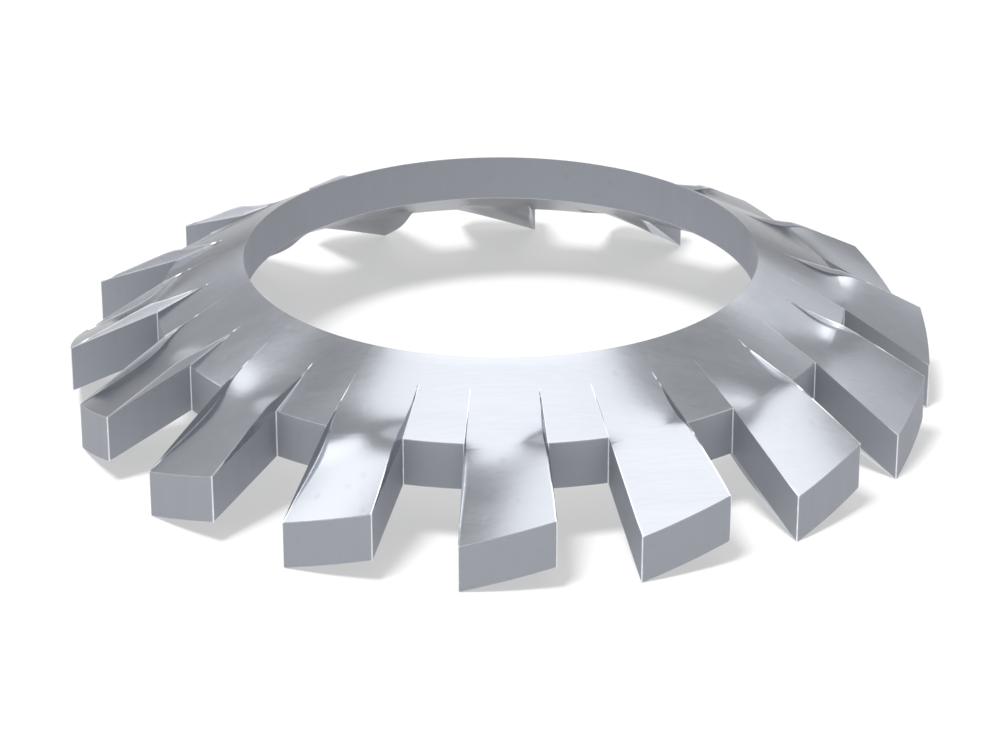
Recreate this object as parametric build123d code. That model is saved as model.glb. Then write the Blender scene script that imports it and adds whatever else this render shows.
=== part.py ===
"""Countersunk external-tooth lock washer, pressed from one piece of spring-steel strip.

A conical ring carries sixteen short teeth round its outer edge.  Each tooth is sheared a
little way back into the ring on both sides and then twisted, so that one corner of its tip
stands above the cone and the other below it.  Seen from outside, every tooth is raised on
its counter-clockwise side.  The cut faces, which are the bore, the bottoms of the gaps, the
flanks and the tips, all stand parallel to the axis, so the body is everywhere its top
surface carried straight down by the same height.

Frame: millimetres, Z up along the axis of the bore, Z = 0 where the lowest tip corners
stand, one tooth centred on -Y.
"""
from build123d import *
import os
from math import asin, atan2, cos, degrees, hypot, radians, sin, tan

# Driving dimensions: lengths in millimetres, angles in degrees.
TOOTH_COUNT = 16
BORE_DIAMETER = 6.60
HEEL_DIAMETER = 7.40      # how far the shear beside each tooth runs back into the ring
ROOT_DIAMETER = 8.85      # bottoms of the gaps
TIP_DIAMETER = 11.11
STOCK = 0.53              # thickness of the strip, square to the cone
DISH_ANGLE = 28.7         # fall of the cone below the horizontal
ROOT_WIDTH = 0.99         # width of a tooth between two gap bottoms
TIP_WIDTH = 1.16
ROOT_SET = 0.115          # how far a tooth's edges leave the cone at the gap bottoms
TIP_SET = 0.16            # how far they leave it at the tip
LAND_WIDTH = 0.03         # land that shearing leaves beside each gap corner

# Rows of control points along a tooth: the more of them, the shorter the twist.
RING_ROWS = 6             # from the heel to the gap bottoms
BLADE_ROWS = 13           # from the gap bottoms to the tip

# Worked out from the driving dimensions.
BORE_RADIUS = BORE_DIAMETER / 2
HEEL_RADIUS = HEEL_DIAMETER / 2
ROOT_RADIUS = ROOT_DIAMETER / 2
TIP_RADIUS = TIP_DIAMETER / 2
PITCH = 360 / TOOTH_COUNT
FALL = tan(radians(DISH_ANGLE))
WALL_HEIGHT = STOCK / cos(radians(DISH_ANGLE))
RIM_HEIGHT = FALL * (TIP_RADIUS - BORE_RADIUS) + TIP_SET + WALL_HEIGHT
ROOT_HALF_ANGLE = asin(ROOT_WIDTH / 2 / ROOT_RADIUS)
TIP_HALF_ANGLE = asin(TIP_WIDTH / 2 / TIP_RADIUS)
TOOTH_SWEEP = 2 * degrees(ROOT_HALF_ANGLE)
DROP = Vector(0, 0, -WALL_HEIGHT)


def cone_point(radius, angle, rise=0):
    """Point on the cone, or above it, at an angle from the tooth centred on -Y."""
    height = RIM_HEIGHT - FALL * (radius - BORE_RADIUS) + rise
    return Vector(radius * sin(angle), -radius * cos(angle), height)


# Corners of the right-hand side of the tooth on -Y, at its top.
HEEL = cone_point(HEEL_RADIUS, ROOT_HALF_ANGLE)
ROOT_CORNER = cone_point(ROOT_RADIUS, ROOT_HALF_ANGLE)
LAND_CORNER = cone_point(ROOT_RADIUS, ROOT_HALF_ANGLE - LAND_WIDTH / ROOT_RADIUS)
TIP_CORNER = cone_point(TIP_RADIUS, TIP_HALF_ANGLE, TIP_SET)


def polar(point):
    """Radius and angle of a point, the angle from the centre line of the tooth on -Y."""
    return hypot(point.X, point.Y), atan2(point.X, -point.Y)


def opposite(point):
    """Point on a tooth's other edge that is as far below the cone as this one is above it."""
    radius, angle = polar(point)
    rise = point.Z - cone_point(radius, angle).Z
    return cone_point(radius, -angle, -rise)


def edge_row(start, end, shares):
    """Points spaced evenly along a tooth's right-hand edge, on a straight line in plan.

    Each stands above the cone in proportion to its angle and to its share of the twist.
    """
    points = []
    for i, share in enumerate(shares):
        radius, angle = polar(start + (end - start) * (i / (len(shares) - 1)))
        points.append(cone_point(radius, angle, TIP_SET * share * angle / TIP_HALF_ANGLE))
    return points


def across(right):
    """Control points and weights of the arc across a tooth that ends at a right-hand point."""
    radius, angle = polar(right)
    crown = cone_point(radius, 0)
    crown.Y /= cos(angle)
    return [opposite(right), crown, right], [1, cos(angle), 1]


def web_face(edge_points):
    """Twisted face whose rows are the arcs that end at these right-hand points."""
    arcs = [across(point) for point in edge_points]
    return Face.make_bezier_surface([points for points, _ in arcs], [weights for _, weights in arcs])


def land_face(edge_points, start, end):
    """Land between one edge of a twisted face and the straight line from start to end."""
    last = len(edge_points) - 1
    straight = [start + (end - start) * (i / last) for i in range(last + 1)]
    return Face.make_bezier_surface([list(pair) for pair in zip(edge_points, straight)])


def twist_shares():
    """Shares of the full twist at the control rows, first in the ring and then in the blade.

    The twist grows at the same rate on both sides of the circle where the two parts meet.
    """
    root_share = ROOT_SET / TIP_SET * TIP_HALF_ANGLE / ROOT_HALF_ANGLE
    blade_rate = (1 - root_share) * (BLADE_ROWS - 1) / (TIP_RADIUS - ROOT_RADIUS)
    ring_step = blade_rate * (ROOT_RADIUS - HEEL_RADIUS) / (RING_ROWS - 1)
    in_ring = [0] * (RING_ROWS - 2) + [root_share - ring_step, root_share]
    in_blade = [root_share] + [1] * (BLADE_ROWS - 1)
    return in_ring, in_blade


def tooth_top():
    """Top faces of the tooth on -Y: its twisted face in two parts, and the lands beside it."""
    in_ring, in_blade = twist_shares()
    ring_edge = edge_row(HEEL, LAND_CORNER, in_ring)
    blade_edge = edge_row(LAND_CORNER, TIP_CORNER, in_blade)
    faces = [web_face(ring_edge), web_face(blade_edge)]
    for mirror in (Vector, opposite):
        for edge, start, end in ((ring_edge, HEEL, ROOT_CORNER), (blade_edge, ROOT_CORNER, TIP_CORNER)):
            faces.append(land_face([mirror(point) for point in edge], mirror(start), mirror(end)))
    return faces


def ring_face(start, end, start_angle, sweep):
    """Face that a straight line sweeps about the axis, from start_angle, in degrees."""
    return Face.revolve(Edge.make_line(start, end).rotate(Axis.Z, start_angle), sweep, Axis.Z)


def pitch_top():
    """Top skin of one pitch: a tooth, the ring behind it and the ring beside it."""
    bore = cone_point(BORE_RADIUS, 0)
    return tooth_top() + [
        ring_face(bore, cone_point(HEEL_RADIUS, 0), -TOOTH_SWEEP / 2, TOOTH_SWEEP),
        ring_face(bore, cone_point(ROOT_RADIUS, 0), TOOTH_SWEEP / 2, PITCH - TOOTH_SWEEP),
    ]


def pitch_walls():
    """Cut faces of one pitch: bore, gap bottom, two flanks and a tip."""
    bore, root = cone_point(BORE_RADIUS, 0), cone_point(ROOT_RADIUS, 0)
    tip_points, tip_weights = across(TIP_CORNER)
    tip_edge = Edge.make_bezier(*tip_points, weights=tip_weights)
    flank_edge = Edge.make_line(ROOT_CORNER, TIP_CORNER)
    other_flank_edge = Edge.make_line(opposite(ROOT_CORNER), opposite(TIP_CORNER))
    return [Face.extrude(edge, DROP) for edge in (tip_edge, flank_edge, other_flank_edge)] + [
        ring_face(bore, bore + DROP, -TOOTH_SWEEP / 2, PITCH),
        ring_face(root, root + DROP, TOOTH_SWEEP / 2, PITCH - TOOTH_SWEEP),
    ]


def all_round(faces):
    """Copies of the faces of one pitch at every tooth."""
    return [face.rotate(Axis.Z, PITCH * i) for i in range(TOOTH_COUNT) for face in faces]


def lock_washer():
    """The whole washer: its top skin, the same skin a wall height lower, and its walls."""
    top = all_round(pitch_top())
    underside = [face.moved(Location(DROP)) for face in top]
    return Solid(Shell(top + underside + all_round(pitch_walls()))).clean()


os.makedirs("parts", exist_ok=True)
export_step(lock_washer(), "parts/lock_washer.step")
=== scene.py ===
"""Looks of a countersunk external-tooth lock washer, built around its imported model.

Sizes in this file are millimetres unless a name says otherwise, and meshes are written in
metres in the model's own frame: Z up along the bore's axis, the floor at Z = 0 and one tooth
centred on -Y.
"""

import logging
import math
from dataclasses import dataclass, field
from enum import Enum, auto

import bpy
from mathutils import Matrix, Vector

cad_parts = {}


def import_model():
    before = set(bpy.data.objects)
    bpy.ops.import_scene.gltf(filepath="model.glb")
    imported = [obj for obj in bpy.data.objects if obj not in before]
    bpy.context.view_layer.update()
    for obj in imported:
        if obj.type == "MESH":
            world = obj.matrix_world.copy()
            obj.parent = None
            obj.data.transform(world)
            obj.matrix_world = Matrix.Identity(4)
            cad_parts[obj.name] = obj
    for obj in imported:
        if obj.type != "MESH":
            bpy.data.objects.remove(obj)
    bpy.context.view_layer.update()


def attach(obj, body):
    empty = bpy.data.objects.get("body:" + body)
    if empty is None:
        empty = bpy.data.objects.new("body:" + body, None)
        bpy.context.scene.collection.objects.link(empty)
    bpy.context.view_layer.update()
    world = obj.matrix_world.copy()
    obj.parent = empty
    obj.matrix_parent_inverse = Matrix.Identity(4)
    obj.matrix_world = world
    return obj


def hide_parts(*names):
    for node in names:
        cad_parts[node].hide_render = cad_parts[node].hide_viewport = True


Tree = bpy.types.NodeTree
Socket = bpy.types.NodeSocket
Feed = Socket | float | tuple[float, ...]
Feeds = dict[str | int, Feed]
Range = tuple[float, float]
Triple = tuple[float, float, float]
Key = tuple[int, int, int]

LOG = logging.getLogger("washer")
MM = 0.001
# Mesh attribute of the near-white edge lines: partly burnished edges, partly painted highlight.
HIGHLIGHT_AND_POLISH_ATTRIBUTE = "edge_polish_and_painted_highlight"  # the mesh attribute that EdgeGleam fills and the finishes read
NOISE_RANGE = (0.3, 0.7)  # where most of a noise texture's values lie


class Side(Enum):
    """The two edges of a tooth, seen from outside with the rim up."""

    LOWERED = -1
    RAISED = 1


class Skin(Enum):
    """The two pressed faces of the strip."""

    TOP = 1
    UNDERSIDE = -1


class Finish(Enum):
    """Order of the washer's two finishes in its mesh."""

    PRESSED = 0
    SHEARED = 1


@dataclass(frozen=True)
class WasherSizes:
    """Real sizes of the washer, in millimetres and degrees."""

    tooth_count: int = 16
    bore_radius: float = 3.30
    heel_radius: float = 3.70  # where the shear beside each tooth ends inside the ring
    root_radius: float = 4.425  # bottoms of the gaps
    tip_radius: float = 5.555
    stock: float = 0.53  # thickness of the strip, square to the cone
    dish_angle: float = 28.7  # fall of the cone below the horizontal
    root_width: float = 0.99  # width of a tooth between two gap bottoms
    tip_width: float = 1.16
    root_raise: float = 0.13  # rise of the raised flank's upper edge at the gap bottoms
    root_twist: float = 0.5  # share of the tip's set that the twisted face has there
    tip_set: float = 0.16  # how far the tip corners stand above and below the cone
    raised_swell: Range = (0.20, 0.46)  # shape of the raised edge in the ring
    land_lean: float = 0.27  # width of a sheared land for each unit of its height
    crest_lean: float = 0.4  # the same for the slope from the raised edge to the twisted face
    least_width: float = 0.010  # width of either where it has no height to speak of
    edge_radius: float = 0.005
    corner_radius: float = 0.008  # of the tip corners in plan
    root_fillet: float = 0.008  # of the gap corners in plan
    blade_steps: int = 12  # how steeply the raised edge meets the blade's full set
    twist_steps: int = 6  # how steeply the twisted face does

    @property
    def pitch(self) -> float:
        """Angle from one tooth to the next, in radians."""
        return math.tau / self.tooth_count

    @property
    def fall(self) -> float:
        """Fall of the cone for each unit of radius."""
        return math.tan(math.radians(self.dish_angle))

    @property
    def wall_height(self) -> float:
        """Height of the strip, measured parallel to the axis."""
        return self.stock / math.cos(math.radians(self.dish_angle))

    @property
    def rim_height(self) -> float:
        """Height of the bore's upper rim above the lowest tip corners."""
        return self.fall * (self.tip_radius - self.bore_radius) + self.tip_set + self.wall_height

    @property
    def root_half_angle(self) -> float:
        """Half angle of a tooth at the gap bottoms, in radians."""
        return math.asin(self.root_width / 2 / self.root_radius)

    @property
    def tip_half_angle(self) -> float:
        """Half angle of a tooth at its tip, in radians."""
        return math.asin(self.tip_width / 2 / self.tip_radius)


class Zone(Enum):
    """Parts of the surface that creases divide."""

    RING = auto()
    WEB = auto()
    LOWERED_LAND = auto()
    RAISED_LAND = auto()
    CREST = auto()
    WALL = auto()

    def meets(self, other: "Zone") -> bool:
        """Whether the surface runs smoothly from this zone into another one."""
        return self is other or Zone.WALL in (self, other)


@dataclass(frozen=True)
class Place:
    """A place on the washer's plan."""

    radius: float
    angle: float  # from the tooth's centre line, in radians
    inset: float  # distance inwards from the outline, which rounds the edge there


@dataclass
class WasherForm:
    """Shape of the washer: its plan outline and the height of its twisted top face."""

    sizes: WasherSizes = WasherSizes()

    def flank_angle(self, radius: float) -> float:
        """Half angle of a tooth at a radius.

        Args:
            radius: distance from the axis.

        Returns:
            The angle in radians: constant in the ring, on a straight flank outside it.
        """
        s = self.sizes
        if radius <= s.root_radius:
            return s.root_half_angle
        start = Vector((math.sin(s.root_half_angle), math.cos(s.root_half_angle))) * s.root_radius
        end = Vector((math.sin(s.tip_half_angle), math.cos(s.tip_half_angle))) * s.tip_radius
        run = end - start
        half_b = start.dot(run)
        gain = radius**2 - s.root_radius**2
        root_term = math.sqrt(half_b**2 + run.dot(run) * gain)
        point = start + run * (gain / (half_b + root_term))
        return math.atan2(point.x, point.y)

    def twist(self, radius: float) -> float:
        """How far the twisted face's edges stand from the plain cone at a radius."""
        s = self.sizes
        return self._rise(radius, s.root_twist * s.tip_set, (0.0, 0.0), s.twist_steps)

    def crest(self, radius: float) -> float:
        """How far the raised flank's upper edge stands above the plain cone at a radius."""
        s = self.sizes
        return self._rise(radius, s.root_raise, s.raised_swell, s.blade_steps)

    def flank_rise(self, radius: float) -> float:
        """How far the straight line along a flank stands from the plain cone at a radius."""
        s = self.sizes
        return s.tip_set * max(0.0, (radius - s.root_radius) / (s.tip_radius - s.root_radius))

    def edge_widths(self, radius: float, side: Side) -> Range:
        """Widths in plan beside a flank, where a higher land is wider and leans by one angle.

        Args:
            radius: distance from the axis.
            side: which flank of the tooth.

        Returns:
            The widths of the sheared land and of the slope from it to the twisted face.
        """
        s, twist = self.sizes, self.twist(radius)
        edge = self.crest(radius) if side is Side.RAISED else twist
        land = max(s.least_width, s.land_lean * (edge - self.flank_rise(radius)))
        return land, max(s.least_width, s.crest_lean * (edge - twist))

    def _rise(
        self, radius: float, at_root: float, swell: Range, steps_out: int
    ) -> float:
        """Rise that grows from the heel and turns gently into the full set of the blade.

        Args:
            radius: distance from the axis.
            at_root: the rise at the gap bottoms.
            swell: shares of the full set at the middle two of its six control points.
            steps_out: how many times faster than evenly the rest of it grows outside them.

        Returns:
            The rise in millimetres.
        """
        s = self.sizes
        if radius >= s.root_radius:
            run = (radius - s.root_radius) / (s.tip_radius - s.root_radius)
            return s.tip_set - (s.tip_set - at_root) * (1 - run) ** steps_out
        run = max(0.0, (radius - s.heel_radius) / (s.root_radius - s.heel_radius))
        slope = (s.tip_set - at_root) * steps_out / (s.tip_radius - s.root_radius)
        knots = [0.0, 0.0, s.tip_set * swell[0], s.tip_set * swell[1]]
        knots += [at_root - slope * (s.root_radius - s.heel_radius) / 5, at_root]
        return sum(
            math.comb(5, i) * run**i * (1 - run) ** (5 - i) * knot for i, knot in enumerate(knots)
        )

    def height(self, radius: float, angle: float) -> float:
        """Height of the washer's top face.

        Args:
            radius: distance from the axis.
            angle: angle from the tooth's centre line, in radians.

        Returns:
            The height above the floor, before any edge is rounded.
        """
        s = self.sizes
        cone = s.rim_height - s.fall * (radius - s.bore_radius)
        flank, twist = self.flank_angle(radius), self.twist(radius)
        lowered_edge = flank - self.edge_widths(radius, Side.LOWERED)[0] / radius
        slope = twist / math.sin(lowered_edge)
        if angle <= 0:
            inner, foot, edge = lowered_edge, lowered_edge, -twist
        else:
            land, crest = self.edge_widths(radius, Side.RAISED)
            inner = flank - land / radius
            foot, edge = inner - crest / radius, self.crest(radius)
        if abs(angle) <= foot:
            return cone + slope * math.sin(angle)
        if abs(angle) < inner:
            low = slope * math.sin(foot)
            return cone + low + (edge - low) * (angle - foot) / (inner - foot)
        across = min(1.0, (abs(angle) - inner) / (flank - inner))
        flank_rise = math.copysign(self.flank_rise(radius), angle)
        return cone + edge + (flank_rise - edge) * across

    def round_off(self, inset: float) -> float:
        """How far an edge's rounding lies below the face, at a distance in from the outline."""
        radius = self.sizes.edge_radius
        return radius - math.sqrt(radius**2 - max(0.0, radius - max(0.0, inset)) ** 2)


@dataclass(frozen=True)
class EdgeGleam:
    """Narrow lines along the washer's edges and creases that the finishes turn near white: partly
    edges burnished by tumbling, partly painted highlight, in creases and shears too.
    """

    sizes: WasherSizes = WasherSizes()
    reach: float = 0.013  # half of a line's width
    flat_share: float = 0.4  # share of that half where the polish is full
    crest_spread: float = 1.4  # how many times wider the lines along the lands' edges are
    slit_spread: float = 0.5  # the same along the shears
    corner_spread: float = 1 / 3  # the same down the upright corners
    # The weights below set how strongly the lines along the shears and the rest of the outline are
    # painted near white, as painted highlight.
    slit_weight: float = 0.75  # full polish along a shear
    rim_weight: float = 0.1  # full polish along the rest of the outline
    slit_fade: float = 0.03  # length over which a shear's line starts at its heel
    full_rise: float = 0.03  # how far a land's edge stands out where it is polished fully

    def line(self, distance: float) -> float:
        """Mask at a distance from the middle of a line: full there and nothing past its reach."""
        return min(1.0, max(0.0, (1 - distance / self.reach) / (1 - self.flat_share)))

    def on_face(
        self, radius: float, across: float, from_crest: float, raised: float, rim: float
    ) -> float:
        """Mask of the near-white lines at a place on a pressed face, partly burnished edges and
        partly painted highlight.

        Args:
            radius: distance from the axis.
            across: distance in from the tooth's flank, negative beside the tooth.
            from_crest: distance from the edge where the nearer flank's land ends.
            raised: how far that edge stands out, from 0 to 1 where it is fully exposed.
            rim: distance from the outline.

        Returns:
            The mask, from 0 to 1.
        """
        s = self.sizes
        started = min(1.0, max(0.0, (radius - s.heel_radius) / self.slit_fade))
        gleam = self.rim_weight * self.line(rim)
        gleam = max(gleam, raised * self.line(from_crest / self.crest_spread))
        if radius < s.root_radius:
            along_slit = self.line(abs(across) / self.slit_spread)
            gleam = max(gleam, self.slit_weight * started * along_slit)
        return gleam

    def on_wall(self, radius: float, across: float) -> float:
        """Mask of a place on a cut wall, where only its upright corners shine: burnished at the tip
        corners, painted highlight in the gap corners.

        Args:
            radius: distance from the axis.
            across: distance in from the tooth's flank, negative beside the tooth.

        Returns:
            The mask, from 0 to 1.
        """
        s = self.sizes
        if radius < (s.bore_radius + s.heel_radius) / 2:
            return 0.0
        from_tip = max(across, s.tip_radius - radius) - s.corner_radius
        from_root = max(-across, radius - s.root_radius) - s.root_fillet
        return self.line(max(0.0, min(from_tip, from_root)) / self.corner_spread)


@dataclass
class WasherMesh:
    """Builds the washer's mesh, pitch by pitch, from rows along it and columns across it.

    The same plan carries both pressed faces, and walls join the two outlines.
    """

    form: WasherForm = field(default_factory=WasherForm)
    gleam: EdgeGleam = EdgeGleam()
    # Columns across a tooth, from a flank inwards: distances over the edge's rounding, shares
    # of the land, shares of the slope beside it, and distances past that on the twisted face.
    edge_insets: tuple[float, ...] = (0.0, 0.0006, 0.002, 0.005)
    land_shares: tuple[float, ...] = (0.45, 0.8, 1.0)
    crest_shares: tuple[float, ...] = (0.35, 1.0)
    web_offsets: tuple[float, ...] = (0.012, 0.032, 0.07)
    web_columns: int = 12
    # Places over a gap corner's rounding, in radii, and columns across half of the gap.
    fillet_steps: tuple[float, ...] = (0.25, 0.5, 1.0, 2.0)
    gap_columns: int = 3
    # Rows from the bore to the heels, the gap bottoms, the twist's end and the tip's rounding.
    behind_heel_rows: int = 3
    twist_rows: int = 20
    blade_twist_rows: int = 10
    twist_end_radius: float = 4.85
    blade_rows: int = 6
    corner_insets: tuple[float, ...] = (0.008, 0.016)
    # Narrow strips along a wall's upper and lower edge, and rows between them.
    wall_margin: float = 0.008
    wall_middle_rows: int = 2
    narrow_share: float = 0.2  # of the widest face's area: smaller faces bend no normal
    tiny: float = 1e-6  # smallest distance that counts

    def __post_init__(self) -> None:
        """Sets up what the mesh is written from."""
        self.vertices: list[Triple] = []
        self.gleams: list[float] = []
        self.faces: list[tuple[int, ...]] = []
        self.zones: list[Zone] = []
        self.index: dict[tuple[Skin, int, int, int], int] = {}
        self.wall_index: dict[Key, list[int]] = {}
        self.wall_gleams: dict[Key, float] = {}
        self.columns = len(self.ring_places(self.form.sizes.bore_radius))

    @property
    def land_column(self) -> int:
        """Number of columns between a flank and the edge where its land ends."""
        return len(self.edge_insets) + len(self.land_shares) - 1

    @property
    def web_column(self) -> int:
        """Number of columns between a flank and the start of the twisted face."""
        return self.land_column + len(self.crest_shares)

    def ring_radii(self) -> list[float]:
        """Spaces the rows of the ring.

        Returns:
            Their radii, from the bore to the gap bottoms.
        """
        s = self.form.sizes
        last = self.edge_insets[-1]
        rows = [s.bore_radius + inset for inset in self.edge_insets]
        rows += steps(s.bore_radius + last, s.heel_radius, self.behind_heel_rows)
        rows += steps(s.heel_radius, s.root_radius - 2 * last, self.twist_rows)
        rows += [s.root_radius - inset for inset in reversed(self.edge_insets)]
        return rows

    def blade_radii(self) -> list[float]:
        """Spaces the rows of the teeth outside the ring.

        Returns:
            Their radii, from just outside the gap bottoms to the tip.
        """
        s = self.form.sizes
        fillet_end = s.root_radius + s.root_fillet * self.fillet_steps[-1]
        rows = [s.root_radius + s.root_fillet * step for step in self.fillet_steps]
        rows += steps(fillet_end, self.twist_end_radius, self.blade_twist_rows)
        rows += steps(self.twist_end_radius, s.tip_radius - self.corner_insets[-1], self.blade_rows)
        insets = [*reversed(self.corner_insets[:-1]), *reversed(self.edge_insets)]
        rows += [s.tip_radius - inset for inset in insets]
        return rows

    def tooth_places(self, radius: float) -> list[Place]:
        """Places across a tooth at a radius, from its lowered flank to its raised one.

        Args:
            radius: distance from the axis.

        Returns:
            One place for each tooth column, with its distance in from the flank as inset.
        """
        flank = self.form.flank_angle(radius)
        low, high = (self.side_insets(radius, side) for side in Side)
        start, end = low[-1] / radius - flank, flank - high[-1] / radius
        middle = steps(start, end, self.web_columns)[:-1]
        lowered = [Place(radius, inset / radius - flank, inset) for inset in low]
        centre = [Place(radius, angle, (flank - abs(angle)) * radius) for angle in middle]
        raised = [Place(radius, flank - inset / radius, inset) for inset in reversed(high)]
        return lowered + centre + raised

    def side_insets(self, radius: float, side: Side) -> list[float]:
        """Distances of the columns near a flank from it: on its land, its crest and the web.

        Args:
            radius: distance from the axis.
            side: which flank of the tooth.

        Returns:
            The distances, from the flank inwards.
        """
        land, crest = self.form.edge_widths(radius, side)
        last, foot = self.edge_insets[-1], land + crest
        insets = [*self.edge_insets]
        insets += [last + (land - last) * share for share in self.land_shares]
        insets += [land + (foot - land) * share for share in self.crest_shares]
        return insets + [foot + offset for offset in self.web_offsets]

    def gap_places(self, radius: float, side: Side) -> list[Place]:
        """Places beside a tooth at a radius, in order of distance from its flank.

        Args:
            radius: distance from the axis.
            side: which of the tooth's edges they lie beside.

        Returns:
            One place for each gap column, with a negative inset: its distance outside the flank.
        """
        s = self.form.sizes
        start = s.root_half_angle
        angles = [start + s.root_fillet * step / s.root_radius for step in self.fillet_steps]
        angles += steps(angles[-1], s.pitch / 2, self.gap_columns)
        return [Place(radius, side.value * angle, (start - angle) * radius) for angle in angles]

    def ring_places(self, radius: float) -> list[Place]:
        """Places round one pitch of the ring at a radius, from mid gap up to the next one."""
        before = self.gap_places(radius, Side.LOWERED)[::-1]
        return before + self.tooth_places(radius) + self.gap_places(radius, Side.RAISED)[:-1]

    def settle(self, place: Place) -> Place:
        """Moves a place onto the rounded outline and finds its true distance from it.

        Args:
            place: a place whose inset is its distance in from the nearer flank.

        Returns:
            The place as built, with its distance in from the whole outline as inset.
        """
        s = self.form.sizes
        across, inward = place.inset, s.root_radius - place.radius
        to_tip, to_bore = s.tip_radius - place.radius, place.radius - s.bore_radius
        fillet, corner = s.root_fillet, s.corner_radius
        if across < corner and to_tip < corner:
            return self._round_tip_corner(place, to_tip)
        on_gap_bottom = abs(inward) < self.tiny and -fillet < across <= 0
        if on_gap_bottom or across == 0 and -fillet < inward <= 0:
            return self._round_root_corner(place, inward)
        if fillet + across > 0 and fillet + inward > 0:
            inset = math.hypot(fillet + across, fillet + inward) - fillet
        elif inward > -fillet:
            inset = inward
        else:
            inset = across
        return Place(place.radius, place.angle, min(inset, to_bore, to_tip))

    def _round_tip_corner(self, place: Place, to_tip: float) -> Place:
        """Pulls a place at a tip corner onto a quarter circle round the corner's centre.

        Args:
            place: the place, with its distance in from the flank as inset.
            to_tip: its distance in from the tip.

        Returns:
            The place as built.
        """
        corner = self.form.sizes.corner_radius
        out_side, out_tip = corner - place.inset, corner - to_tip
        reach = max(out_side, out_tip)
        length = math.hypot(out_side, out_tip)
        share = reach / length if length > 0 else 1.0
        radius = self.form.sizes.tip_radius - (corner - out_tip * share)
        side = math.copysign(1.0, place.angle)
        angle = self.form.flank_angle(radius) - (corner - out_side * share) / radius
        return Place(radius, side * angle, corner - reach)

    def _round_root_corner(self, place: Place, inward: float) -> Place:
        """Moves a place of the outline near a gap corner onto the fillet there.

        Args:
            place: the place, with its distance in from the flank as inset.
            inward: its distance in from the circle of the gap bottoms.

        Returns:
            The place as built.
        """
        s = self.form.sizes
        fillet = s.root_fillet
        along = max(-inward, -place.inset)
        turn = math.pi / 4 * (1 - along / fillet)
        near, far = fillet * (1 - math.cos(turn)), fillet * (1 - math.sin(turn))
        on_flank = -inward > -place.inset
        out, up = (near, far) if on_flank else (far, near)
        radius = s.root_radius + up
        side = math.copysign(1.0, place.angle)
        return Place(radius, side * (self.form.flank_angle(radius) + out / radius), 0.0)

    def add_row(self, skin: Skin, row: int, tooth: int, places: list[Place], first: int) -> None:
        """Adds one row of vertices of one pitch.

        Args:
            skin: which pressed face the row lies on.
            row: the row's number, counted from the bore.
            tooth: the pitch's number.
            places: places along the row, before the outline is rounded.
            first: number of the row's first column.
        """
        s = self.form.sizes
        crests = [self._crest_place(places[0].radius, side) for side in Side]
        for column, raw in enumerate(places, start=first):
            place = self.settle(raw)
            height = self.form.height(place.radius, place.angle)
            cut = self.form.round_off(place.inset)
            height += -cut if skin is Skin.TOP else cut - s.wall_height
            land, level, raised = crests[0 if raw.angle < 0 else 1]
            above = self.form.height(raw.radius, raw.angle) - level
            from_crest = math.hypot(raw.inset - land, above)
            gleam = self.gleam.on_face(raw.radius, raw.inset, from_crest, raised, place.inset)
            on_outline = place.inset < self.tiny
            corner = self.gleam.on_wall(raw.radius, raw.inset) if on_outline else 0.0
            self.index[skin, tooth, row, column] = len(self.vertices)
            self.wall_gleams[tooth, row, column] = corner
            self.gleams.append(max(gleam, corner))
            angle = place.angle + s.pitch * tooth
            x, y = place.radius * math.sin(angle), -place.radius * math.cos(angle)
            self.vertices.append((x * MM, y * MM, height * MM))

    def _crest_place(self, radius: float, side: Side) -> Triple:
        """Finds the edge where a flank's land ends.

        Args:
            radius: distance from the axis.
            side: which flank of the tooth.

        Returns:
            Its distance in from the flank, its height and how far it stands out, from 0 to 1.
        """
        land = self.form.edge_widths(radius, side)[0]
        angle = side.value * (self.form.flank_angle(radius) - land / radius)
        rise = self.form.crest(radius) if side is Side.RAISED else self.form.flank_rise(radius)
        exposure = min(1.0, rise / self.gleam.full_rise)
        return land, self.form.height(radius, angle), exposure

    def add_face(self, corners: list[int], zone: Zone, flip: bool) -> None:
        """Adds one face, turned over where flip is set."""
        self.faces.append(tuple(reversed(corners)) if flip else tuple(corners))
        self.zones.append(zone)

    def build(self, name: str, materials: list[bpy.types.Material]) -> bpy.types.Object:
        """Writes the whole washer as one closed mesh.

        Args:
            name: name of the object.
            materials: the finish of the pressed faces and the finish of the cut walls.

        Returns:
            The finished object, in the scene.
        """
        s = self.form.sizes
        ring, blade = self.ring_radii(), self.blade_radii()
        first = len(self.gap_places(ring[0], Side.LOWERED))
        last = first + len(self.tooth_places(ring[0])) - 1
        rows = len(ring) + len(blade)
        for skin in Skin:
            for tooth in range(s.tooth_count):
                for row, radius in enumerate(ring):
                    self.add_row(skin, row, tooth, self.ring_places(radius), 0)
                for row, radius in enumerate(blade, start=len(ring)):
                    self.add_row(skin, row, tooth, self.tooth_places(radius), first)
        for tooth in range(s.tooth_count):
            for skin in Skin:
                for row in range(rows - 1):
                    in_ring = row < len(ring) - 1
                    behind = ring[min(row, len(ring) - 1)] < s.heel_radius - self.tiny
                    for column in range(self.columns) if in_ring else range(first, last):
                        zone = Zone.RING if behind else self._zone(column - first, last - first)
                        self._add_quad(skin, tooth, row, column, zone)
            self._add_walls(tooth, len(ring) - 1, rows - 1, first, last)
        return self._write(name, materials)

    def _key(self, tooth: int, row: int, column: int) -> Key:
        """Pitch, row and column of a place, where columns past the last are the next pitch's."""
        pitch = (tooth + column // self.columns) % self.form.sizes.tooth_count
        return pitch, row, column % self.columns

    def _zone(self, column: int, width: int) -> Zone:
        """Zone of a face beside, on or within a tooth.

        Args:
            column: the face's column, counted from the tooth's lowered flank.
            width: number of columns across the tooth.

        Returns:
            The zone that the face belongs to.
        """
        if column < 0 or column >= width:
            return Zone.RING
        if column < self.land_column:
            return Zone.LOWERED_LAND
        if column < width - self.web_column:
            return Zone.WEB
        return Zone.CREST if column < width - self.land_column else Zone.RAISED_LAND

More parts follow.
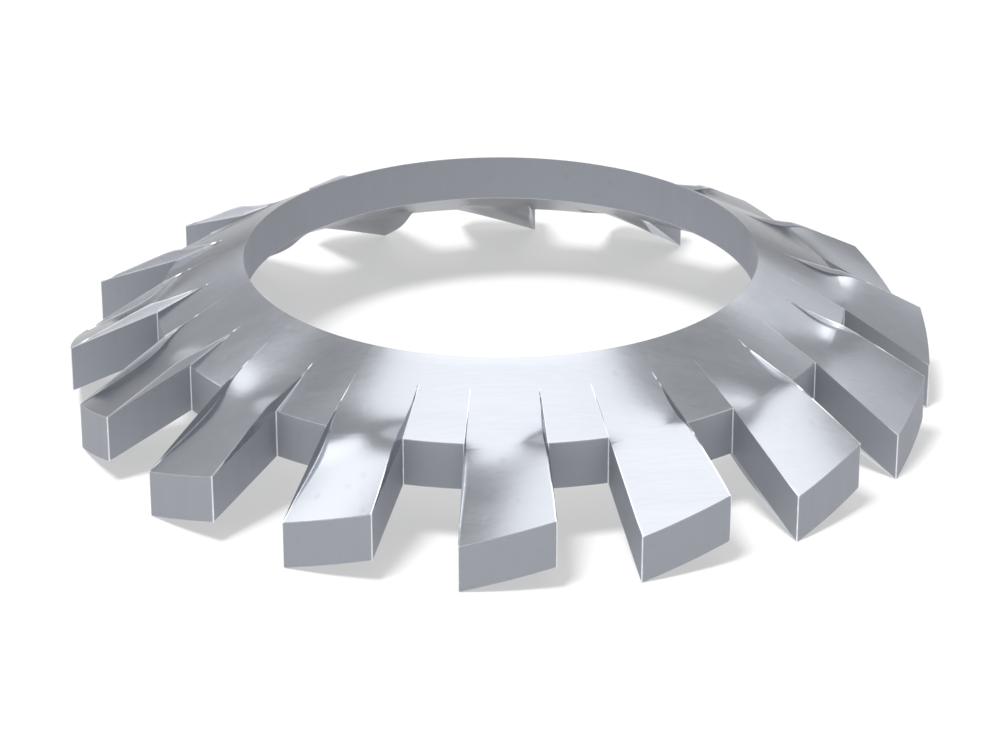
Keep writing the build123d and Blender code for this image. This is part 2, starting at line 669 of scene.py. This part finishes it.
    def _add_quad(self, skin: Skin, tooth: int, row: int, column: int, zone: Zone) -> None:
        """Adds one quad of a pressed face.

        Args:
            skin: which pressed face it lies on.
            tooth: the pitch's number.
            row: the nearest of its two rows to the bore.
            column: the first of its two columns.
            zone: the zone that it belongs to.
        """
        places = ((row, column), (row + 1, column), (row + 1, column + 1), (row, column + 1))
        corners = [self.index[skin, *self._key(tooth, *place)] for place in places]
        self.add_face(corners, zone, skin is Skin.UNDERSIDE)

    def _wall_column(self, tooth: int, row: int, column: int) -> list[int]:
        """Finds or adds one upright line of a wall.

        Args:
            tooth: the pitch's number.
            row: row of the place on the outline where it starts.
            column: column of that place.

        Returns:
            The line's vertices, from the top outline to the lower one.
        """
        key = self._key(tooth, row, column)
        if key not in self.wall_index:
            top, bottom = self.index[Skin.TOP, *key], self.index[Skin.UNDERSIDE, *key]
            high, low = Vector(self.vertices[top]), Vector(self.vertices[bottom])
            margin = self.wall_margin * MM / (high - low).length
            shares = [margin, *steps(margin, 1 - margin, self.wall_middle_rows)]
            line = [top]
            for share in shares:
                line.append(len(self.vertices))
                self.vertices.append(tuple(high.lerp(low, share)))
                self.gleams.append(self.wall_gleams[key])
            self.wall_index[key] = [*line, bottom]
        return self.wall_index[key]

    def _add_walls(self, tooth: int, root: int, tip: int, low: int, high: int) -> None:
        """Adds the cut walls of one pitch: bore, gap bottoms, flanks and tip.

        Args:
            tooth: the pitch's number.
            root: row of the gap bottoms.
            tip: row of the tip.
            low: column of the lowered flank.
            high: column of the raised flank.
        """
        outline = [(root, column) for column in range(low)]
        outline += [(row, low) for row in range(root, tip)]
        outline += [(tip, column) for column in range(low, high)]
        outline += [(row, high) for row in range(tip, root, -1)]
        outline += [(root, column) for column in range(high, self.columns + 1)]
        bore = [(0, column) for column in range(self.columns + 1)]
        for path, flip in ((outline, False), (bore, True)):
            lines = [self._wall_column(tooth, *place) for place in path]
            for a, b in zip(lines, lines[1:]):
                for step in range(len(a) - 1):
                    corners = [a[step], a[step + 1], b[step + 1], b[step]]
                    self.add_face(corners, Zone.WALL, flip)

    def _write(self, name: str, materials: list[bpy.types.Material]) -> bpy.types.Object:
        """Turns the collected lists into an object, smooth but for its creases.

        Args:
            name: name of the object.
            materials: one material for each face slot.

        Returns:
            The object, in the scene.
        """
        mesh = bpy.data.meshes.new(name)
        mesh.from_pydata(self.vertices, [], self.faces)
        for material in materials:
            mesh.materials.append(material)
        slots = [Finish.SHEARED if zone is Zone.WALL else Finish.PRESSED for zone in self.zones]
        mesh.polygons.foreach_set("material_index", [slot.value for slot in slots])
        # The mask of the near-white edge lines, partly burnished edges and partly painted
        # highlight.
        polish_and_highlight = mesh.attributes.new(HIGHLIGHT_AND_POLISH_ATTRIBUTE, "FLOAT", "POINT")
        polish_and_highlight.data.foreach_set("value", self.gleams)
        mesh.shade_smooth()
        mesh.normals_split_custom_set(self._corner_normals(mesh))
        return put(name, mesh)

    def _corner_normals(self, mesh: bpy.types.Mesh) -> list[Vector]:
        """Normals at the corners of the faces, so that wide faces aren't bent by narrow ones.

        Args:
            mesh: the mesh, with its faces in the order in which they were added.

        Returns:
            One normal for each corner: the mean of the wide faces round it in one zone.
        """
        areas = [polygon.area for polygon in mesh.polygons]
        normals = [polygon.normal.copy() for polygon in mesh.polygons]
        around: list[list[int]] = [[] for _ in self.vertices]
        for number, corners in enumerate(self.faces):
            for corner in corners:
                around[corner].append(number)
        found = []
        for corners, zone in zip(self.faces, self.zones):
            for corner in corners:
                near = [n for n in around[corner] if zone.meets(self.zones[n])]
                widest = max(areas[n] for n in near)
                wide = [n for n in near if areas[n] > self.narrow_share * widest]
                found.append(sum((normals[n] * areas[n] for n in wide), Vector()).normalized())
        return found


def steps(low: float, high: float, count: int) -> list[float]:
    """Evenly spaced values after low, up to and including high."""
    return [low + (high - low) * (i + 1) / count for i in range(count)]


def put(name: str, data: bpy.types.ID) -> bpy.types.Object:
    """Adds an object to the scene.

    Args:
        name: name of the object.
        data: the mesh, lamp or camera that it shows.

    Returns:
        The new object.
    """
    thing = bpy.data.objects.new(name, data)
    bpy.context.scene.collection.objects.link(thing)
    return thing


class Blend(Enum):
    """Ways to join two values or two vectors."""

    ADD = "ADD"
    SUBTRACT = "SUBTRACT"
    MULTIPLY = "MULTIPLY"
    MAXIMUM = "MAXIMUM"


@dataclass
class NodeBench:
    """Adds nodes to a node tree and feeds their inputs."""

    tree: Tree

    def add(
        self, kind: str, label: str = "", feeds: Feeds | None = None, **settings: str | bool | Tree
    ) -> bpy.types.Node:
        """Adds a node.

        Args:
            kind: Blender's name for the node type.
            label: what the node is for.
            feeds: what goes into its inputs, by their names or numbers.
            settings: properties to set on it.

        Returns:
            The new node.
        """
        node = self.tree.nodes.new(kind)
        node.label = label
        for name, value in settings.items():
            setattr(node, name, value)
        self.feed(node, feeds or {})
        return node

    def feed(self, node: bpy.types.Node, feeds: Feeds) -> None:
        """Links inputs of a node to sockets, or sets them to plain values.

        Args:
            node: the node.
            feeds: what goes into its inputs, by their names or numbers.
        """
        for key, value in feeds.items():
            target = node.inputs[key]
            if isinstance(value, Socket):
                self.tree.links.new(value, target)
            elif target.type == "RGBA":
                target.default_value = (*value, 1.0)
            else:
                target.default_value = value

    def blend(self, how: Blend, first: Feed, second: Feed, clamp: bool = False) -> Socket:
        """Joins two values.

        Args:
            how: the way to join them.
            first: the first value.
            second: the second value.
            clamp: whether the result is kept from 0 to 1.

        Returns:
            The output socket.
        """
        feeds = {0: first, 1: second}
        node = self.add("ShaderNodeMath", "", feeds, operation=how.value, use_clamp=clamp)
        return node.outputs[0]

    def shift(self, how: Blend, first: Socket, second: Feed) -> Socket:
        """Joins two vectors number by number, in one of the ways that values are joined."""
        feeds = {0: first, 1: second}
        return self.add("ShaderNodeVectorMath", "", feeds, operation=how.value).outputs[0]

    def spread(self, value: Socket, old: Range, new: Range = (0.0, 1.0)) -> Socket:
        """Maps a value from one range to another, kept within it.

        Args:
            value: the value to map.
            old: range that the value is read in.
            new: range that it is written in.

        Returns:
            The output socket.
        """
        ends = zip(("From Min", "From Max", "To Min", "To Max"), (*old, *new))
        return self.add("ShaderNodeMapRange", "", {"Value": value, **dict(ends)}).outputs[0]

    def tint(self, mask: Socket, low: Feed, high: Feed) -> Socket:
        """Mixes two colours, where the mask tells how much of the second one shows."""
        feeds = {0: mask, 6: low, 7: high}
        return self.add("ShaderNodeMix", "", feeds, data_type="RGBA").outputs[2]


def new_group(name: str, inputs: dict[str, float], outputs: tuple[str, ...]) -> Tree:
    """Makes an empty shader node group.

    Args:
        name: name of the group.
        inputs: its number inputs and their first values.
        outputs: its number outputs.

    Returns:
        The group, with its sockets made.
    """
    group = bpy.data.node_groups.new(name, "ShaderNodeTree")
    group.interface.new_socket("Place", in_out="INPUT", socket_type="NodeSocketVector")
    for title, value in inputs.items():
        socket = group.interface.new_socket(title, in_out="INPUT", socket_type="NodeSocketFloat")
        socket.default_value = value
    for title in outputs:
        group.interface.new_socket(title, in_out="OUTPUT", socket_type="NodeSocketFloat")
    return group


@dataclass(frozen=True)
class DrawnGrain:
    """Fine parallel lines that rolling or shearing leaves in steel."""

    name: str = "drawn grain"
    lines_per_mm: float = 30.0
    fine_detail: float = 3.0
    fine_roughness: float = 0.65
    broad_share: float = 0.12  # how coarse the broad bands are beside the fine lines

    def build(self) -> Tree:
        """Makes the group.

        Returns:
            The group, which turns a stretched place into a tone and a height.
        """
        group = new_group(self.name, {"Lines per mm": self.lines_per_mm}, ("Tone", "Height"))
        bench = NodeBench(group)
        source = bench.add("NodeGroupInput").outputs
        place, density = source["Place"], source["Lines per mm"]
        feeds = {"Detail": self.fine_detail, "Roughness": self.fine_roughness}
        feeds |= {"Vector": place, "Scale": density}
        lines = bench.add("ShaderNodeTexNoise", "fine lines", feeds)
        feeds = {"Vector": place, "Scale": bench.blend(Blend.MULTIPLY, density, self.broad_share)}
        bands = bench.add("ShaderNodeTexNoise", "broad bands", feeds)
        fine = bench.spread(lines.outputs["Fac"], NOISE_RANGE)
        wide = bench.spread(bands.outputs["Fac"], NOISE_RANGE)
        tone = bench.blend(Blend.MULTIPLY, bench.blend(Blend.ADD, fine, wide), 0.5)
        bench.add("NodeGroupOutput", "", {"Tone": tone, "Height": fine})
        return group


@dataclass(frozen=True)
class TumbleMarks:
    """Small dents from tumbling loose parts together."""

    name: str = "tumble marks"
    marks_per_mm: float = 5.0
    dent_size: float = 0.34
    unevenness: float = 0.08
    chosen: Range = (0.55, 0.95)  # a cell with less than the first has no dent

    def build(self) -> Tree:
        """Makes the group.

        Returns:
            The group, which turns a place into a mask of the dents and a height.
        """
        group = new_group(self.name, {"Marks per mm": self.marks_per_mm}, ("Marks", "Height"))
        bench = NodeBench(group)
        source = bench.add("NodeGroupInput").outputs
        place, density = source["Place"], source["Marks per mm"]
        feeds = {"Vector": place, "Scale": density}
        wander = bench.add("ShaderNodeTexNoise", "uneven shape", feeds).outputs["Color"]
        slight = bench.shift(Blend.MULTIPLY, wander, (self.unevenness,) * 3)
        feeds = {"Vector": bench.shift(Blend.ADD, place, slight), "Scale": density}
        dents = bench.add("ShaderNodeTexVoronoi", "dents", feeds, feature="F1").outputs
        hollow = bench.spread(dents["Distance"], (0.0, self.dent_size), (1.0, 0.0))
        split = bench.add("ShaderNodeSeparateColor", "", {0: dents["Color"]})
        chosen = bench.spread(split.outputs[0], self.chosen)
        marks = bench.blend(Blend.MULTIPLY, hollow, chosen)
        height = bench.blend(Blend.SUBTRACT, 1.0, marks)
        bench.add("NodeGroupOutput", "", {"Marks": marks, "Height": height})
        return group


@dataclass(frozen=True)
class PolishAndPaintedHighlightMask:
    """Brighter, smoother metal along edges and creases, broken up a little: partly burnished edges,
    partly painted highlight.
    """

    name: str = "edge polish"
    breaks_per_mm: float = 9.0
    evenness: float = 0.8  # polish that is left in the breaks
    broken: Range = (0.3, 0.6)

    def build(self) -> Tree:
        """Makes the group.

        Returns:
            The group, which turns a place into a mask of the burnished edges and painted highlight
            lines.
        """
        inputs = {"Breaks per mm": self.breaks_per_mm, "Evenness": self.evenness}
        group = new_group(self.name, inputs, ("Polish",))
        bench = NodeBench(group)
        source = bench.add("NodeGroupInput").outputs
        feeds = {"Vector": source["Place"], "Scale": source["Breaks per mm"]}
        breaks = bench.add("ShaderNodeTexNoise", "breaks", feeds)
        gaps = bench.spread(breaks.outputs["Fac"], self.broken)
        kept = bench.blend(Blend.MAXIMUM, gaps, source["Evenness"])
        edges = bench.add("ShaderNodeAttribute", "edges", attribute_name=HIGHLIGHT_AND_POLISH_ATTRIBUTE).outputs["Fac"]
        polish_and_highlight = bench.blend(Blend.MULTIPLY, edges, kept, clamp=True)
        bench.add("NodeGroupOutput", "", {"Polish": polish_and_highlight})
        return group


@dataclass(frozen=True)
class SteelFinish:
    """Finish of bright spring steel, with depths in millimetres."""

    name: str
    colour: Triple
    stretch: Triple  # how many times finer the grain is along X, Y and Z
    tone_depth: float  # how much darker the grain's dark lines are
    roughness: Range  # of the smoothest and of the roughest grain
    polish_roughness: float  # taken off along the polished edges
    grain_depth: float
    dent_depth: float
    dent_roughness: float = 0.05  # added in the dents
    # Near-white colour of the edge lines: partly burnished metal, partly painted highlight.
    polished_and_highlight_colour: Triple = (0.95, 0.97, 1.0)  # colour along the polished edges
    glancing: float = 0.55  # how bright the steel stays where it is seen nearly edge on

    def build(self, groups: dict[str, Tree]) -> bpy.types.Material:
        """Makes the material.

        Args:
            groups: the shared node groups by name.

        Returns:
            The new material.
        """
        material = bpy.data.materials.new(self.name)
        material.use_nodes = True
        bench = NodeBench(material.node_tree)
        place = bench.add("ShaderNodeTexCoord").outputs["Object"]
        in_mm = bench.shift(Blend.MULTIPLY, place, (1 / MM,) * 3)
        along_grain = bench.shift(Blend.MULTIPLY, in_mm, self.stretch)
        parts = {}
        for key, group in groups.items():
            feeds = {"Place": along_grain if key == DrawnGrain.name else in_mm}
            parts[key] = bench.add("ShaderNodeGroup", key, feeds, node_tree=group).outputs
        grain, dents = parts[DrawnGrain.name], parts[TumbleMarks.name]
        polish_and_highlight = parts[PolishAndPaintedHighlightMask.name]["Polish"]
        dark = tuple(value * (1 - self.tone_depth) for value in self.colour)
        light = tuple(value * (1 + self.tone_depth) for value in self.colour)
        metal = bench.tint(grain["Tone"], dark, light)
        rough = bench.spread(grain["Tone"], (0.0, 1.0), self.roughness)
        rougher = bench.blend(Blend.MULTIPLY, dents["Marks"], self.dent_roughness)
        smoother = bench.blend(Blend.MULTIPLY, polish_and_highlight, self.polish_roughness)
        rough = bench.blend(Blend.ADD, rough, rougher)
        feeds = {"Distance": self.dent_depth * MM, "Height": dents["Height"]}
        dented = bench.add("ShaderNodeBump", "dents", feeds).outputs["Normal"]
        feeds = {"Distance": self.grain_depth * MM, "Height": grain["Height"], "Normal": dented}
        feeds = {
            "Metallic": 1.0,
            "Specular Tint": (self.glancing,) * 3,
            # The base colour turns near white along the edge lines, partly burnished metal and
            # partly painted highlight.
            "Base Color": bench.tint(polish_and_highlight, metal, self.polished_and_highlight_colour),
            "Roughness": bench.blend(Blend.SUBTRACT, rough, smoother, clamp=True),
            "Normal": bench.add("ShaderNodeBump", "grain", feeds).outputs["Normal"],
        }
        bench.feed(material.node_tree.nodes["Principled BSDF"], feeds)
        return material


PRESSED_STEEL = SteelFinish(
    name="pressed_steel",
    colour=(0.53, 0.553, 0.601),
    stretch=(0.08, 1.0, 1.0),
    tone_depth=0.05,
    roughness=(0.17, 0.22),
    polish_roughness=0.08,
    grain_depth=0.00008,
    dent_depth=0.0003,
)
SHEARED_STEEL = SteelFinish(
    name="sheared_steel",
    colour=(0.45, 0.467, 0.508),
    stretch=(1.0, 1.0, 0.06),
    tone_depth=0.07,
    roughness=(0.7, 0.8),
    polish_roughness=0.3,
    grain_depth=0.0003,
    dent_depth=0.0002,
)


def toward(azimuth: float, elevation: float) -> Vector:
    """Direction from the washer, one unit long.

    Args:
        azimuth: its direction in plan, in degrees from +Y towards +X.
        elevation: its height above the floor, in degrees.

    Returns:
        The direction.
    """
    turn, lift = math.radians(azimuth), math.radians(elevation)
    level = math.cos(lift)
    return Vector((level * math.sin(turn), level * math.cos(turn), math.sin(lift)))


@dataclass(frozen=True)
class Softbox:
    """A soft lamp that faces the washer, with its angles in degrees as the washer sees it."""

    name: str
    azimuth: float  # from +Y towards +X
    elevation: float
    half_width: float
    half_height: float
    radiance: float  # 1 shows a white surface as white

    def build(self, distance: float) -> bpy.types.Object:
        """Adds the lamp, an ellipse that the camera doesn't see.

        Args:
            distance: distance from the washer, in metres.

        Returns:
            The lamp, in the scene.
        """
        light = bpy.data.lights.new(self.name, "AREA")
        light.shape = "ELLIPSE"
        light.size = 2 * distance * math.tan(math.radians(self.half_width))
        light.size_y = 2 * distance * math.tan(math.radians(self.half_height))
        area = math.pi / 4 * light.size * light.size_y
        light.energy = self.radiance * math.pi * area
        lamp = put(self.name, light)
        out = toward(self.azimuth, self.elevation)
        lamp.location = out * distance
        lamp.rotation_euler = out.to_track_quat("Z", "Y").to_euler()
        lamp.visible_camera = False
        return lamp


@dataclass(frozen=True)
class Studio:
    """Floor, lamps, world and camera."""

    floor_size: float = 2.0  # in metres
    floor_glow: float = 0.472  # brightness of the floor where no lamp reaches it
    floor_gain: float = 0.26  # how much of the lamps' light is added to that
    floor_bounce: float = 0.85  # how much of it the floor sends on to the washer
    lamp_distance: float = 0.5  # in metres
    # Greys of the room at shares of its height.
    room: tuple[Range, ...] = ((0.0, 0.57), (0.42, 0.65), (0.76, 0.38), (0.92, 0.52), (1.0, 0.55))
    camera_distance: float = 47.24
    camera_elevation: float = 24.848
    camera_azimuth: float = 180.83
    camera_clip: Range = (0.001, 10.0)  # in metres
    aim: Triple = (-0.0084, 0.0, 0.241)  # the point that the camera looks at
    lens_mm: float = 130.18
    sensor_mm: float = 36.0

    def build(self) -> None:
        """Adds everything that the washer is shown with."""
        floor = self._floor()
        for softbox in (
            Softbox("ceiling", 0, 90, 24.5, 24.5, 1.12),
            Softbox("side", -59, 41, 9, 9.5, 1.55),
            Softbox("side_right", 78, 48, 14, 13, 0.38),
            Softbox("side_right_core", 80, 51, 6.5, 6, 0.7),
            Softbox("back_right", 29, 24, 9, 16, 0.46),
            Softbox("back_right_core", 29.5, 35.5, 8.5, 6.5, 1.3),
            Softbox("back_left", -17, 33, 12, 27, 0.42),
            Softbox("front", 180, 5, 9, 6, 1.0),
            Softbox("left", -126, 21, 32, 8, 1.25),
            Softbox("front_left", -157.5, 13.5, 9, 6, 1.3),
        ):
            softbox.build(self.lamp_distance)
        key = Softbox("key", -142, 64, 8, 8, 92.0).build(self.lamp_distance)
        lit = bpy.data.collections.new("lit by the key")
        lit.objects.link(floor)
        key.light_linking.receiver_collection = lit
        self._world()
        self._camera()

    def _floor(self) -> bpy.types.Object:
        """Adds the plain white floor, which glows a little so that its shadows stay pale.

        Returns:
            The floor, in the scene.
        """
        half = self.floor_size / 2
        mesh = bpy.data.meshes.new("floor")
        corners = [(-half, -half, 0), (half, -half, 0), (half, half, 0), (-half, half, 0)]
        mesh.from_pydata(corners, [], [(0, 1, 2, 3)])
        material = bpy.data.materials.new("floor")
        material.use_nodes = True
        material.node_tree.nodes.clear()
        bench = NodeBench(material.node_tree)
        path = bench.add("ShaderNodeLightPath").outputs
        mirrored = bench.blend(Blend.MAXIMUM, path["Is Glossy Ray"], path["Is Transmission Ray"])
        seen = bench.blend(Blend.MAXIMUM, path["Is Camera Ray"], mirrored)
        bounce, shaded = (
            bench.add("ShaderNodeBsdfDiffuse", label, {"Color": (grey,) * 3}).outputs[0]
            for label, grey in (("sent on", self.floor_bounce), ("seen", self.floor_gain))
        )
        glow = bench.add("ShaderNodeEmission", "", {"Strength": self.floor_glow}).outputs[0]
        both = bench.add("ShaderNodeAddShader", "", {0: shaded, 1: glow}).outputs[0]
        mix = bench.add("ShaderNodeMixShader", "", {0: seen, 1: bounce, 2: both}).outputs[0]
        bench.add("ShaderNodeOutputMaterial", "", {"Surface": mix})
        mesh.materials.append(material)
        floor = put("floor", mesh)
        return floor

    def _world(self) -> None:
        """Adds a grey room, a little darker below its ceiling."""
        world = bpy.data.worlds.new("room")
        bpy.context.scene.world = world
        world.use_nodes = True
        bench = NodeBench(world.node_tree)
        place = bench.add("ShaderNodeTexCoord").outputs["Generated"]
        height = bench.add("ShaderNodeSeparateXYZ", "", {0: place}).outputs["Z"]
        ramp = bench.add("ShaderNodeValToRGB", "", {0: height})
        stops = ramp.color_ramp
        stops.interpolation = "B_SPLINE"
        while len(stops.elements) < len(self.room):
            stops.elements.new(0.5)
        for stop, (share, grey) in zip(stops.elements, self.room):
            stop.position = share
            stop.color = (grey, grey, grey, 1)
        bench.feed(world.node_tree.nodes["Background"], {"Color": ramp.outputs["Color"]})

    def _camera(self) -> None:
        """Adds the camera."""
        camera = bpy.data.cameras.new("camera")
        camera.lens = self.lens_mm
        camera.sensor_width = self.sensor_mm
        camera.clip_start, camera.clip_end = self.camera_clip
        eye = put("camera", camera)
        out = toward(self.camera_azimuth, self.camera_elevation)
        eye.location = (Vector(self.aim) + out * self.camera_distance) * MM
        eye.rotation_euler = out.to_track_quat("Z", "Y").to_euler()
        bpy.context.scene.camera = eye


def main() -> None:
    """Builds the washer, dresses it and sets up the studio."""
    logging.basicConfig(level=logging.INFO, format="%(name)s: %(message)s")
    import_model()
    groups = {maker.name: maker.build() for maker in (DrawnGrain(), TumbleMarks(), PolishAndPaintedHighlightMask())}
    finishes = [finish.build(groups) for finish in (PRESSED_STEEL, SHEARED_STEEL)]
    washer = WasherMesh().build("washer", finishes)
    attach(washer, "root")
    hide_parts("lock_washer")
    LOG.info("washer: %d vertices, %d faces", len(washer.data.vertices), len(washer.data.polygons))
    Studio().build()
    bpy.context.scene.view_settings.view_transform = "Standard"


if __name__ == "__main__":
    main()
